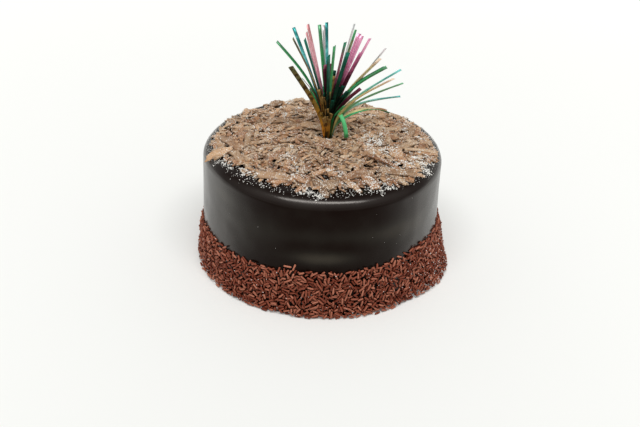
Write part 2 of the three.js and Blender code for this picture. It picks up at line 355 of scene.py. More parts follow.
def sprinkles_look():
    look = Look("sprinkles", Roughness=0.5, IOR=1.3)
    look.set("Base Color", look.ramp(look.stored("shade").outputs["Fac"], [
        (0.0, (0.13, 0.022, 0.008)), (0.5, (0.235, 0.058, 0.029)), (1.0, (0.42, 0.155, 0.094))]))
    look.set("Normal", look.bump(look.noise(look.place(), 2.5 * PER_MM), 0.12))
    return look.material


def sugar_look():
    look = Look("sugar", Base_Color=(0.86, 0.84, 0.79, 1), Roughness=0.6)
    look.set("Normal", look.bump(look.noise(look.place(), 4 * PER_MM, 2), 0.1))
    return look.material


def wood_look():
    look = Look("wood", Roughness=0.6)
    rings = look.noise(look.scaled(look.place(), (2 * PER_MM, 2 * PER_MM, 0.15 * PER_MM)), 1.0, 4)
    look.set("Base Color", look.ramp(rings, [(0.3, (0.42, 0.29, 0.15)), (0.7, (0.6, 0.45, 0.26))]))
    look.set("Normal", look.bump(rings, 0.08))
    return look.material


# The colours of each foil, from the foot of a strip to its tip. The near-black foot of most is
# painted shade inside the bundle, and the bright band near the tip of the teal is a painted
# highlight.
FOILS = {
    "green": [(0.0, (0.05, 0.08, 0.01)), (0.25, (0.01, 0.16, 0.05)), (0.5, (0.06, 0.45, 0.17)),
              (0.8, (0.08, 0.42, 0.15)), (1.0, (0.12, 0.32, 0.17))],
    "teal": [(0.0, (0.02, 0.06, 0.04)), (0.3, (0.01, 0.12, 0.16)), (0.6, (0.03, 0.3, 0.36)),
             (0.8, (0.2, 0.8, 0.78)), (0.92, (0.05, 0.33, 0.32)), (1.0, (0.02, 0.2, 0.19))],
    "pink": [(0.0, (0.08, 0.02, 0.01)), (0.3, (0.22, 0.03, 0.07)), (0.55, (0.7, 0.2, 0.32)),
             (0.8, (0.95, 0.5, 0.55)), (1.0, (0.72, 0.3, 0.31))],
    "purple": [(0.0, (0.02, 0.008, 0.006)), (0.4, (0.06, 0.01, 0.025)), (0.62, (0.15, 0.03, 0.06)),
               (0.8, (0.42, 0.12, 0.2)), (0.9, (0.3, 0.16, 0.18)), (1.0, (0.06, 0.26, 0.15))],
    "rose": [(0.0, (0.03, 0.004, 0.008)), (0.4, (0.10, 0.012, 0.035)), (0.62, (0.42, 0.09, 0.2)),
             (0.85, (0.85, 0.34, 0.54)), (1.0, (0.9, 0.42, 0.6))],
    "gold": [(0.0, (0.85, 0.36, 0.04)), (0.25, (0.7, 0.38, 0.05)), (0.5, (0.42, 0.27, 0.05)),
             (0.8, (0.24, 0.2, 0.07)), (1.0, (0.17, 0.19, 0.08))],
    "dark": [(0.0, (0.003, 0.005, 0.002)), (0.45, (0.001, 0.01, 0.006)),
             (0.75, (0.004, 0.1, 0.062)), (1.0, (0.016, 0.19, 0.13))],
    "lime": [(0.0, (0.05, 0.2, 0.06)), (0.5, (0.28, 0.7, 0.38)), (1.0, (0.3, 0.66, 0.4))],
    "leaf": [(0.0, (0.05, 0.2, 0.06)), (0.5, (0.22, 0.85, 0.36)), (1.0, (0.15, 0.75, 0.3))],
    "silver": [(0.0, (0.08, 0.16, 0.12)), (0.5, (0.4, 0.62, 0.58)), (1.0, (0.7, 0.62, 0.64))],
    "yellow": [(0.0, (0.4, 0.38, 0.12)), (0.45, (0.72, 0.68, 0.3)), (0.7, (1.0, 0.88, 0.46)),
               (1.0, (1.0, 0.78, 0.62))],
    "aqua": [(0.0, (0.04, 0.16, 0.1)), (0.4, (0.45, 0.85, 0.68)), (0.8, (0.38, 0.95, 0.9)),
             (1.0, (0.16, 0.62, 0.6))],
    "bronze": [(0.0, (0.8, 0.36, 0.04)), (0.35, (0.62, 0.32, 0.05)), (0.75, (0.36, 0.25, 0.08)),
               (1.0, (0.42, 0.28, 0.1))],
}
# The slots of the foils that have none of their own name.
FOIL_SLOTS = {"dark": "foil_green", "lime": "foil_green", "leaf": "foil_green", "rose": "foil_pink",
              "yellow": "foil_gold", "bronze": "foil_gold", "aqua": "foil_teal"}
# The foils with painted shade in dark streaks along them.
STREAKED = ("gold", "bronze")


def foil_look(kind):
    look = Look("foil_" + kind, Metallic=0.8, Roughness=0.45)
    waver = look.span(look.noise(look.place(), 0.16 * PER_MM, 2), -0.14, 0.14)
    along = look.math("ADD", look.stored("shade").outputs["Fac"], waver)
    # The ramp carries painted shade at the foot of most strips and a painted highlight near the
    # teal's tip.
    colour = look.ramp(along, FOILS[kind])
    if kind in STREAKED:
        # Painted shade: dark streaks along the strip, mixed into its colour.
        upward = look.scaled(look.place(), (0.45 * PER_MM, 0.45 * PER_MM, 0.09 * PER_MM))
        streak_shade = look.span(look.noise(upward, 1.0, 3), 0, 0.85, 0.5, 0.6)
        colour = look.mixed(streak_shade, colour, (0.05, 0.026, 0.008, 1))
    look.set("Base Color", colour)
    look.set("Normal", look.bump(look.noise(look.place(), 0.5 * PER_MM, 2), 0.15))
    return look.material


# ---- The glazed body ----

# Painted reflections, where the glaze is made paler to stand for what it mirrors at its rim, on its
# dents and above the sprinkles: the angle and height of the middle, how far it reaches each way,
# and how much paler it is.
PAINTED_REFLECTIONS = [
    (-88, 42, 14, 4.5, 0.7), (-88, 57, 30, 5, 0.22), (-60, 55, 14, 7, 0.3), (-43, 55, 12, 9, 0.35),
    (-143, 67, 12, 6, 0.4), (-125, 52, 25, 10, 0.2), (60, 50, 30, 10, 0.25), (150, 60, 35, 9, 0.25),
    (-8, 54, 14, 22, 0.3), (165, 79, 30, 5, 0.5), (15, 79, 28, 5, 0.5),
]
# How many points the glaze has round it, and how many rings on its wall and edge and on top.
GLAZE_AROUND = 360
WALL_ROWS = 70
EDGE_ROWS = 14
TOP_RINGS = (68, 62, 54, 44, 32, 18, 8)
# The glaze's own bumps: how deep they are, and how many there are to a millimetre.
GLAZE_BUMPS = ((0.35, 0.035), (0.12, 0.11))

# The share of the rounded edge, from the wall in, that counts as wall.
FLAT_FROM = 0.4
# The line of light along the edge: how strong it is, how much of it is left round the back, how far
# it reaches each way, and its place up the edge and its width there.
EDGE_GLOSS = 0.85
EDGE_GLOSS_BEHIND = 0.35
EDGE_GLOSS_REACH = 0.65
EDGE_GLOSS_PLACE = 0.62
EDGE_GLOSS_WIDTH = 0.32
# The sheen: how much more of it the right has, how far that reaches, and what the edge and the top
# have less of it.
SHEEN_AT_RIGHT = 0.3
SHEEN_REACH = 0.45
SHEEN_LESS_ON_EDGE = 0.3
SHEEN_LESS_ON_TOP = 0.88


def glaze_bloom(angle, z):
    """How much paler the painted reflection makes the glaze at a place."""
    total = 0.0
    for middle, level, reach, rise, amount in PAINTED_REFLECTIONS:
        aside = wrapped(angle - math.radians(middle)) / math.radians(reach)
        total += amount * math.exp(-aside ** 2 - ((z - level) / rise) ** 2)
    return total


def on_top(radius):
    """How much a ring belongs to the flat top: 0 on the wall, and 1 where the rounded edge ends."""
    share = min(1.0, max(0.0, (TOP_RADIUS - radius) / EDGE_ROUND))
    return max(0.0, (share - FLAT_FROM) / (1 - FLAT_FROM))


def edge_gloss(angle, upper, flat):
    """The line of light along the rounded edge, which is strongest in front."""
    aside = wrapped(angle + math.pi / 2) / EDGE_GLOSS_REACH
    front = EDGE_GLOSS_BEHIND + (1 - EDGE_GLOSS_BEHIND) * math.exp(-aside ** 4)
    across = (upper - EDGE_GLOSS_PLACE) / EDGE_GLOSS_WIDTH
    return EDGE_GLOSS * front * math.exp(-across ** 2) * (1 - flat)


def glaze_sheen(angle, upper, flat):
    """How much the glaze mirrors at a grazing angle."""
    brighter = SHEEN_AT_RIGHT * math.exp(-(wrapped(angle) / SHEEN_REACH) ** 2)
    less = SHEEN_LESS_ON_EDGE * upper * (1 - flat)
    return (1 + brighter) * (1 - less - SHEEN_LESS_ON_TOP * flat)


def glaze_rows():
    """The radius and height of each ring of points, from the foot up and then in over the top."""
    rows = [(FOOT_RADIUS, 0.0)]
    rows += [(wall_radius(z), z) for z in np.linspace(0.6, WALL_TOP, WALL_ROWS)]
    for turn in np.linspace(0, math.pi / 2, EDGE_ROWS)[1:]:
        rows.append((TOP_RADIUS - EDGE_ROUND * (1 - math.cos(turn)),
                     WALL_TOP + EDGE_ROUND * math.sin(turn)))
    return rows + [(radius, HEIGHT) for radius in TOP_RINGS]


def tube_faces(around, rows):
    """Faces between rings of points, with the first and the last ring closed."""
    faces = []
    for row in range(rows - 1):
        for step in range(around):
            a = row * around + step
            b = row * around + (step + 1) % around
            faces.append((a, b, b + around, a + around))
    last = (rows - 1) * around
    faces.append(tuple(range(around))[::-1])
    faces.append(tuple(range(last, last + around)))
    return faces


def glaze_piece():
    rows = glaze_rows()
    angles = np.arange(GLAZE_AROUND) * FULL_TURN / GLAZE_AROUND
    points = []
    blooms = []
    glosses = []
    sheens = []
    for radius, z in rows:
        for angle in angles:
            side = Vector((math.cos(angle), math.sin(angle), 0))
            at = side * radius
            at.z = z
            swell = sum(depth * noise.noise(at * scale) for depth, scale in GLAZE_BUMPS)
            upper = min(1.0, max(0.0, (z - WALL_TOP) / EDGE_ROUND))
            if z > 0:
                at.z += swell * upper
                at += side * (glaze_wave(angle, z) + swell) * (1 - upper)
            points.append(at[:])
            # The painted reflection that makes the glaze paler at this point.
            blooms.append(glaze_bloom(angle, z))
            flat = on_top(radius)
            glosses.append(edge_gloss(angle, upper, flat))
            sheens.append(glaze_sheen(angle, upper, flat))
    faces = tube_faces(GLAZE_AROUND, len(rows))
    make_piece("glazed_body", points, faces, glaze_look(), "chocolate_glaze", "cake",
               bloom=blooms, gloss=glosses, sheen=sheens)


# ---- Shavings, which settle on each other one by one ----

class TopField:
    """The height of whatever lies on top so far, on a square grid."""

    STEP = 0.5

    def __init__(self):
        self.half = TOP_RADIUS + 2
        line = np.arange(-self.half, self.half + self.STEP, self.STEP)
        x, y = np.meshgrid(line, line, indexing="ij")
        radius = np.hypot(x, y)
        self.height = np.where(radius > TOP_RADIUS, 0, top_height(radius))

    def cells(self, x, y):
        limit = len(self.height) - 1
        i = np.clip(np.rint((x + self.half) / self.STEP).astype(int), 0, limit)
        j = np.clip(np.rint((y + self.half) / self.STEP).astype(int), 0, limit)
        return i, j

    def at(self, x, y):
        return self.height[self.cells(x, y)]

    def cover(self, points):
        np.maximum.at(self.height, self.cells(points[:, 0], points[:, 1]), points[:, 2])


# How many points a flake has along it and across it.
LARGE, MIDDLING, SMALL = (7, 5), (5, 4), (4, 3)
FLAKE_FACES = {grid: slab_faces(grid[1], grid[0]) for grid in (LARGE, MIDDLING, SMALL)}

# A flake's form, as shares of its length or width: its ragged sides, the drift of its middle line,
# its slanting and ragged ends, its bow, its cup and its twist. Then how rough its faces are in
# millimetres, and how much thinner its sides are than its middle.
SIDE_RAG, DRIFT, END_SLANT, END_RAG = 0.13, 0.05, 0.04, 0.012
BOW, CUP, TWIST, ROUGHNESS, THIN_SIDES = 0.07, 0.09, 0.05, 0.13, 0.45
# How a flake settles: the steepest slope that it takes on, and the percentage of its points that
# sink into what lies below.
STEEPEST, SUNK_PERCENT = 0.35, 22


def flake_shape(random, length, width, thickness, grid):
    """A ragged, bowed flake lying along X: its top grid and then its bottom grid."""
    rows, columns = grid
    u = np.linspace(-1, 1, rows)[:, None]
    v = np.linspace(-1, 1, columns)[None, :]
    narrow = random.uniform(0.15, 0.6) * np.abs(u) ** random.uniform(1.5, 4)
    side_rag = random.normal(0, SIDE_RAG, (rows, 2))
    edge = 1 - narrow + np.where(v < 0, side_rag[:, :1], side_rag[:, 1:]) * (np.abs(v) > 0.6)
    drift = np.cumsum(random.normal(0, DRIFT, (rows, 1)), axis=0)
    x = length / 2 * u + random.normal(0, END_SLANT * length, (1, columns)) * u ** 2
    x = x + random.normal(0, END_RAG * length, grid)
    y = width / 2 * (v * edge + drift)
    bow = random.uniform(-0.3, 1.0) * BOW * length
    cup = random.uniform(-1, 1) * CUP * width
    twist = random.normal(0, TWIST) * width
    z = bow * (0.4 - u ** 2) + cup * v ** 2 + twist * u * v
    z = z + random.normal(0, ROUGHNESS, grid)
    thick = thickness * (1 - THIN_SIDES * v ** 2) * random.uniform(0.75, 1.25, grid)
    top = np.stack([x, y, z + thick / 2], axis=-1).reshape(-1, 3)
    bottom = np.stack([x, y, z - thick / 2], axis=-1).reshape(-1, 3)
    return np.concatenate([top, bottom])


def turned(points, heading, x, y):
    """The points turned about the upright axis and then moved."""
    cos, sin = math.cos(heading), math.sin(heading)
    placed = points.copy()
    placed[:, 0] = x + points[:, 0] * cos - points[:, 1] * sin
    placed[:, 1] = y + points[:, 0] * sin + points[:, 1] * cos
    return placed


def settled(field, points):
    """The flake let down on what lies below it, tipped as the ground under it is."""
    ground = field.at(points[:, 0], points[:, 1])
    aside = points[:, :2] - points[:, :2].mean(axis=0)
    plane = np.linalg.lstsq(np.column_stack([aside, np.ones(len(points))]), ground, rcond=None)[0]
    placed = points.copy()
    placed[:, 2] += aside @ np.clip(plane[:2], -STEEPEST, STEEPEST)
    below = placed[len(points) // 2:]
    gaps = below[:, 2] - field.at(below[:, 0], below[:, 1])
    placed[:, 2] -= np.percentile(gaps, SUNK_PERCENT)
    return placed


def filled(points, grid, count=4):
    """Points all over the top grid of a flake, close enough to leave no gap in the field."""
    top = points[: len(points) // 2].reshape(*grid, 3)
    shares = np.linspace(0, 1, count)
    rows = np.concatenate([top[:-1] * (1 - share) + top[1:] * share for share in shares])
    both = [rows[:, :-1] * (1 - share) + rows[:, 1:] * share for share in shares]
    return np.concatenate(both).reshape(-1, 3)


FLAKE_SIZES = [  # how many, then length, width and thickness from and to, and their grid
    (400, (6, 13), (2.4, 4.8), (0.5, 0.9), LARGE),
    (150, (11, 20), (2.6, 5.6), (0.6, 1.1), LARGE),
    (500, (3, 8), (1.6, 3.2), (0.5, 0.9), MIDDLING),
    (22, (16, 23), (3.6, 6.0), (0.7, 1.2), LARGE),
    (650, (2, 5.5), (0.9, 2.4), (0.4, 0.8), SMALL),
]
# How close flakes come to the rim and the pick.
RIM_MARGIN = 4
PICK_MARGIN = 3
# In front, from here on and over so many millimetres, up to this share of them is left out.
THINNED_FROM, THINNED_OVER, THINNED_SHARE = -25, 20, 0.6
# A flake's shade: its middle, how much it grows with each millimetre to the back, its spread, and
# its limit.
FLAKE_SHADE, SHADE_TO_BACK, SHADE_SPREAD, SHADE_LIMIT = 0.455, 0.0032, 0.3, 0.9
# A clump of flakes at the back left.
CLUMP_COUNT = 12
CLUMP_MIDDLE = (-28, 59)
CLUMP_SPREAD = (8.0, 3.0)
CLUMP_LENGTHS, CLUMP_WIDTHS, CLUMP_THICKNESS = (4, 10), (2.5, 5), 1.0
LONE_THICKNESS = 1.1
# Single flakes that show: x, y, length, width, heading in degrees, and how far one end is raised.
LONE_FLAKES = [
    (-60, -14, 26, 5.5, -52, 0.0), (-65.5, -26, 16, 6.0, 8, 0.0), (62, -13, 20, 4.0, -8, 0.0),
    (46, -43, 22, 6.5, -14, 0.05), (29, -57, 14, 6.0, -58, 0.0), (22, -50, 18, 6.5, 20, 0.0),
    (-30, -54, 20, 7.0, -5, 0.0), (-14, -57, 17, 3.6, -48, 0.1), (47, -20, 12, 9.0, -70, 0.0),
    (38, -33, 26, 4.0, -35, 0.0), (-20, 61, 9, 6.0, 30, 0.12), (-36, 57, 9, 6.0, -10, 0.1),
    (5, -62, 12, 7.0, 70, 0.0),
]


def shavings_piece(field):
    random = np.random.default_rng(7)
    heap = Heap()

    def lay(length, width, thickness, x, y, heading, grid=LARGE, raised=0.0):
        shape = flake_shape(random, length, width, thickness, grid)
        grain = shape + random.uniform(-500, 500, 3)
        shape[:, 2] += shape[:, 0] * raised
        placed = settled(field, turned(shape, heading, x, y))
        shade = random.normal(FLAKE_SHADE + SHADE_TO_BACK * y, SHADE_SPREAD)
        heap.add(placed, FLAKE_FACES[grid], shade=np.clip(shade, 0, SHADE_LIMIT), grain=grain)
        field.cover(filled(placed, grid))

    for count, lengths, widths, thicknesses, grid in FLAKE_SIZES:
        laid = 0
        while laid < count:
            length = random.uniform(*lengths)
            width = random.uniform(*widths)
            thickness = random.uniform(*thicknesses)
            heading = random.uniform(0, math.pi)
            angle = random.uniform(0, FULL_TURN)
            reach = TOP_RADIUS - RIM_MARGIN - length / 2 * abs(math.cos(heading - angle))
            radius = min(math.sqrt(random.uniform(0, 1)) * bed_edge(angle), reach)
            x, y = radius * math.cos(angle), radius * math.sin(angle)
            free = math.hypot(x - PICK_FOOT[0], y - PICK_FOOT[1]) > PICK_MARGIN + length / 3
            forward = min(1, max(0, (THINNED_FROM - y) / THINNED_OVER))
            left_out = random.uniform(0, 1) < THINNED_SHARE * forward
            room = field.at(x, y) < top_height(radius) + bed_depth(angle, radius)
            if free and room and not left_out:
                lay(length, width, thickness, x, y, heading, grid)
                laid += 1
    for _ in range(CLUMP_COUNT):
        x, y = random.normal(CLUMP_MIDDLE, CLUMP_SPREAD)
        lay(random.uniform(*CLUMP_LENGTHS), random.uniform(*CLUMP_WIDTHS), CLUMP_THICKNESS, x, y,
            random.uniform(0, math.pi))
    for x, y, length, width, heading, raised in LONE_FLAKES:
        lay(length, width, LONE_THICKNESS, x, y, math.radians(heading), raised=raised)
    heap.piece("shavings", shavings_look(), "chocolate_shavings", "cake", smooth=False)


# ---- Sprinkles, which settle on the wall one by one ----

SPRINKLE_RADIUS = 0.62
SPRINKLE_SIDES = 6
# Each ring's end of the sprinkle, how far in from that end it is, and how wide.
SPRINKLE_RINGS = ((-1.0, 0.3, 0.72), (-1.0, 1.1, 1.0), (1.0, 1.1, 1.0), (1.0, 0.3, 0.72))
LENGTH_MIDDLE, LENGTH_SPREAD, LENGTH_LIMITS = 4.3, 0.7, (2.6, 6.0)
# How far past the top line a sprinkle may lie, and the share of strays with their own limits.
OVER_TOP = (-2, 0.5)
STRAY_SHARE, STRAY_OVER_TOP = 0.006, (0, 4)
# How deep a sprinkle sinks in, how far it follows the slope of what lies below, and its own tilt.
SPRINKLE_SINK = 0.3
SLOPE_SHARE, SLOPE_LIMIT, TILT_SPREAD = 0.8, 0.4, 0.13
# How much further out they lie in the pile and at the foot, how high the foot goes, and how much
# thinner the band is at its top line, from what share of its height on.
PILE_SPREAD, FOOT_SPREAD, FOOT_HEIGHT = 1.9, 1.3, 10
FADE, FADE_FROM = 0.45, 0.75
# A layer is done after so many tries for each sprinkle that it may have, because few then fit.
TRIES_EACH = 12
# Each layer's name, the most sprinkles it may have, and how far out their middles may lie.
LAYERS = (("sprinkles_under", 3300, 1.3), ("sprinkles_outer", 4200, 2.6))


def sprinkle_faces():
    """Faces from one end point over the rings to the other end point."""
    faces = []
    rings = len(SPRINKLE_RINGS)
    last = 1 + rings * SPRINKLE_SIDES
    for step in range(SPRINKLE_SIDES):
        after = (step + 1) % SPRINKLE_SIDES
        faces.append((0, 1 + after, 1 + step))
        for ring in range(rings - 1):
            a = 1 + ring * SPRINKLE_SIDES
            b = a + SPRINKLE_SIDES
            faces.append((a + step, a + after, b + after, b + step))
        faces.append((last, last - SPRINKLE_SIDES + step, last - SPRINKLE_SIDES + after))
    return faces


def sprinkle_shape(length):
    """A rod with round ends, lying along X."""
    half = length / 2
    points = [(-half, 0, 0)]
    for end, inward, wide in SPRINKLE_RINGS:
        for step in range(SPRINKLE_SIDES):
            turn = FULL_TURN * step / SPRINKLE_SIDES
            points.append((end * (half - inward * SPRINKLE_RADIUS),
                           SPRINKLE_RADIUS * wide * math.cos(turn),
                           SPRINKLE_RADIUS * wide * math.sin(turn)))
    points.append((half, 0, 0))
    return np.array(points)


class WallField:
    """How thick the sprinkles on the wall are so far, over the way round it and the height."""

    STEP = 0.4
    HIGHEST = 60

    def __init__(self):
        around = int(FULL_TURN * FOOT_RADIUS / self.STEP)
        self.depth = np.zeros((around, int(self.HIGHEST / self.STEP)))

    def cells(self, way, z):
        i = np.rint(way / self.STEP).astype(int) % self.depth.shape[0]
        j = np.clip(np.rint(z / self.STEP).astype(int), 0, self.depth.shape[1] - 1)
        return i, j


def sprinkles_pieces(field):
    random = np.random.default_rng(11)
    faces = sprinkle_faces()
    along = np.linspace(-1, 1, 11)[:, None]
    across = np.array([[-0.8, 0.0, 0.8]])
    bulge = np.array([[0.4, 0.95, 0.4]]) * SPRINKLE_RADIUS
    for name, count, furthest in LAYERS:
        heap = Heap()
        tries = 0
        laid = 0
        while laid < count and tries < TRIES_EACH * count:
            tries += 1
            angle = random.uniform(0, FULL_TURN)
            length = np.clip(random.normal(LENGTH_MIDDLE, LENGTH_SPREAD), *LENGTH_LIMITS)
            heading = random.uniform(0, math.pi)
            cos, sin = math.cos(heading), math.sin(heading)
            half = length / 2
            rise = half * abs(sin)
            lowest = SPRINKLE_RADIUS + rise
            stray = random.uniform(0, 1) < STRAY_SHARE
            over = random.uniform(*(STRAY_OVER_TOP if stray else OVER_TOP))
            top = band_top(angle) - 0.5 * rise + over
            z = random.uniform(lowest, max(top, lowest + 0.1))
            way = angle * FOOT_RADIUS + half * along * cos - SPRINKLE_RADIUS * across * sin
            high = z + half * along * sin + SPRINKLE_RADIUS * across * cos
            cells = field.cells(way, high)
            ground = field.depth[cells]
            slope = SLOPE_SHARE * (ground[6:].max() - ground[:5].max()) / length
            tilt = np.clip(slope, -SLOPE_LIMIT, SLOPE_LIMIT) + random.normal(0, TILT_SPREAD)
            touch = (ground - tilt * half * along).max()
            out = touch - SPRINKLE_SINK + SPRINKLE_RADIUS
            fade = np.clip((z / band_top(angle) - FADE_FROM) / (1 - FADE_FROM), 0, 1)
            spread = PILE_SPREAD * pile_out(angle, z) + FOOT_SPREAD * max(0, 1 - z / FOOT_HEIGHT)
            if out > (furthest + spread) * (1 - FADE * fade):
                continue
            field.depth[cells] = np.maximum(ground, out + tilt * half * along + bulge)
            axis = np.array([tilt, cos, sin])
            axis /= np.linalg.norm(axis)
            side = np.cross((1.0, 0.0, 0.0), axis)
            side /= np.linalg.norm(side)
            local = sprinkle_shape(length) @ np.stack([axis, side, np.cross(axis, side)])
            local[:, 0] += wall_radius(z) + glaze_wave(angle, z) + out
            local[:, 2] += z
            heap.add(turned(local, angle, 0, 0), faces, shade=random.uniform(0, 1))
            laid += 1
        heap.piece(name, sprinkles_look(), "chocolate_sprinkles", "cake")


# ---- Sugar ----

def grain_shape():
    """The corners and faces of a grain with twenty faces."""
    long = (1 + math.sqrt(5)) / 2
    corners = [(-1, long, 0), (1, long, 0), (-1, -long, 0), (1, -long, 0), (0, -1, long),
               (0, 1, long), (0, -1, -long), (0, 1, -long), (long, 0, -1), (long, 0, 1),
               (-long, 0, -1), (-long, 0, 1)]
    faces = [(0, 11, 5), (0, 5, 1), (0, 1, 7), (0, 7, 10), (0, 10, 11), (1, 5, 9), (5, 11, 4),
             (11, 10, 2), (10, 7, 6), (7, 1, 8), (3, 9, 4), (3, 4, 2), (3, 2, 6), (3, 6, 8),
             (3, 8, 9), (4, 9, 5), (2, 4, 11), (6, 2, 10), (8, 6, 7), (9, 8, 1)]
    return np.array(corners) / math.hypot(1, long), faces


SUGAR_CLUSTERS = [  # x, y, how far it spreads and how many lumps it has
    (36, -9, 5, 13), (34, 0, 5, 9), (41, -18, 5, 8), (46, -36, 5, 15), (31, -57, 5, 8),
    (37, -59, 5, 5), (27, -65, 5, 3), (-18, -49, 5, 6), (-27, -57, 5, 2), (-60, -35, 4, 4),
    (-53, -45, 5, 2), (58, -22, 4, 8), (66, -27, 4, 5), (64, -35, 4, 4), (20, -63, 4, 3),
    (-2, -70, 4, 5), (-9, -69, 4, 4), (-23, -28, 4, 5), (53, -33, 4, 4), (-47, -50, 4, 2),
    (-13, -43, 4, 3), (8, -45, 6, 4), (-36, -5, 9, 5), (-44, 8, 8, 4), (66, 8, 4, 4), (28, 5, 5, 4),
    (20, 40, 10, 4), (-30, 40, 9, 4), (0, 62, 8, 3), (-55, 40, 8, 3), (55, 30, 8, 4),
    (-36, -59, 5, 2), (10, -68, 6, 2), (-27, 59, 6, 6),
]
# A lump: how far its grains spread, how many there are, and their sizes.
LUMP_SPREADS, LUMP_GRAINS, LUMP_SIZES = (0.7, 2.0), (10, 32), (0.3, 0.9)
# Single grains: how many there are, and their sizes.
SUGAR_DUST, DUST_SIZES = 3600, (0.25, 0.65)
SUGAR_BY_EDGE, EDGE_SIZES = 540, (0.2, 0.42)
SUGAR_ON_WALL, WALL_SIZES = 26, (0.15, 0.35)
SUGAR_ON_BAND, BAND_SIZES = 800, (0.25, 0.65)
# Fine sugar on the bare rim: how many grains, round which angle, and how far to each side.
SUGAR_ON_RIM, RIM_SIZES = [(450, 165, 22), (350, 12, 26)], (0.2, 0.45)
# The share of the band's sugar that lies on the pile, and how far it reaches there each way.
PILE_SUGAR_SHARE, PILE_SUGAR_REACH = 0.65, 0.3
# How far in from the rim all sugar, the dust and the fine sugar stay, and how the sugar by the edge
# of the shavings and the fine sugar spread inwards or outwards.
SUGAR_MARGIN, DUST_MARGIN, FINE_MARGIN = 1.5, 4, 1.6
EDGE_SPREAD, FINE_SPREAD = 3.5, 4
# How high the middle of a grain lies, and how much a grain raises what lies on it, as shares of it.
GRAIN_RISE, GRAIN_COVER = 0.3, 0.25


def sugar_piece(top_field, wall_field):
    random = np.random.default_rng(5)
    heap = Heap()
    corners, faces = grain_shape()

    def lay(x, y, z, size):
        scale = size / 2 * random.uniform(0.7, 1.2, 3)
        shape = corners * scale * random.uniform(0.85, 1.15, (12, 1))
        heap.add(shape + (x, y, z + GRAIN_RISE * size), faces)

    def lay_on_top(x, y, size):
        if math.hypot(x, y) < TOP_RADIUS - SUGAR_MARGIN:
            z = top_field.at(x, y)
            lay(x, y, z, size)
            top_field.cover(np.array([[x, y, z + GRAIN_COVER * size]]))

    def on_wall(angle, z, size):
        depth = wall_field.depth[wall_field.cells(np.array(angle * FOOT_RADIUS), np.array(z))]
        radius = wall_radius(z) + glaze_wave(angle, z) + depth
        lay(radius * math.cos(angle), radius * math.sin(angle), z, size)

    for _ in range(SUGAR_DUST):
        angle = random.uniform(0, FULL_TURN)
        radius = math.sqrt(random.uniform(0, 1)) * (TOP_RADIUS - DUST_MARGIN)
        lay_on_top(radius * math.cos(angle), radius * math.sin(angle), random.uniform(*DUST_SIZES))
    for _ in range(SUGAR_BY_EDGE):
        angle = random.uniform(0, FULL_TURN)
        radius = bed_edge(angle) + abs(random.normal(0, EDGE_SPREAD))
        lay_on_top(radius * math.cos(angle), radius * math.sin(angle), random.uniform(*EDGE_SIZES))
    for count, middle, aside in SUGAR_ON_RIM:
        for _ in range(count):
            angle = math.radians(random.normal(middle, aside))
            radius = TOP_RADIUS - FINE_MARGIN - abs(random.normal(0, FINE_SPREAD))
            lay_on_top(radius * math.cos(angle), radius * math.sin(angle),
                       random.uniform(*RIM_SIZES))
    for x, y, spread, lumps in SUGAR_CLUSTERS:
        for _ in range(lumps):
            lump = random.normal((x, y), spread / 1.5)
            tight = random.uniform(*LUMP_SPREADS)
            for _ in range(random.integers(*LUMP_GRAINS)):
                px, py = random.normal(lump, tight)
                lay_on_top(px, py, random.uniform(*LUMP_SIZES))
    for _ in range(SUGAR_ON_WALL):
        angle = random.uniform(0, FULL_TURN)
        z = random.uniform(BAND_HEIGHT + 8, WALL_TOP)
        on_wall(angle, z, random.uniform(*WALL_SIZES))
    for _ in range(SUGAR_ON_BAND):
        if random.uniform(0, 1) < PILE_SUGAR_SHARE:
            angle = random.normal(PILE_ANGLE, PILE_SUGAR_REACH)
        else:
            angle = random.uniform(0, FULL_TURN)
        z = BAND_HEIGHT * random.uniform(0.05, 1) ** 1.5
        on_wall(angle, z, random.uniform(*BAND_SIZES))
    heap.piece("sugar", sugar_look(), "powdered_sugar", "cake")


# ---- The foil pick ----

# Each strip: its colour, how it leans to the right and back, its length, how its face is turned,
# and the height at which it leaves the bundle.
STRIPS = [
    ("green", -26.5, -5, 75, 50, 34), ("gold", -20, -25, 69, 5, 18),
    ("purple", -21.6, -6, 47, -58, 26), ("teal", -18, 3, 77, 15, 22),
    ("gold", -18.2, -8, 75, 68, 30), ("dark", -12, -14, 77, 56, 24), ("pink", -11, 0, 78, 58, 24),
    ("pink", -11.4, -8, 77, 50, 24), ("green", -6, 7, 75, 20, 24), ("silver", -4, 10, 74, 55, 24),
    ("teal", -2.5, 4, 77, 25, 24), ("dark", -1, -25, 75, 40, 24), ("green", 1.5, -17, 74, 55, 24),
    ("purple", 6.5, -13, 74, 40, 24), ("dark", 8, -20, 73, 0, 24), ("silver", 10.7, 9, 77, 60, 24),
    ("green", 11.5, 3, 75, 30, 24), ("gold", 10, -10, 74, 45, 24), ("rose", 13.8, 4, 73, 28, 24),
    ("rose", 15.1, 1, 73, 20, 24), ("rose", 18.4, -4, 75, 36, 24),
    ("silver", 25.9, -10, 76, 42, 20), ("yellow", 24.6, -16, 72, 12, 28),
    ("green", 27.5, -22, 73, -20, 34), ("dark", 28.6, -18, 69, -22, 34),
    ("aqua", 39, -10, 70, 15, 24), ("yellow", 36.9, -18, 66, 12, 24), ("lime", 44, -15, 66, 22, 24),
    ("aqua", 51.7, -12, 58, -10, 26),
]
# How wide the strips of some foils are.
WIDE_STRIPS = {"gold": 2.9, "bronze": 2.7, "pink": 2.8, "rose": 2.8, "dark": 2.6}
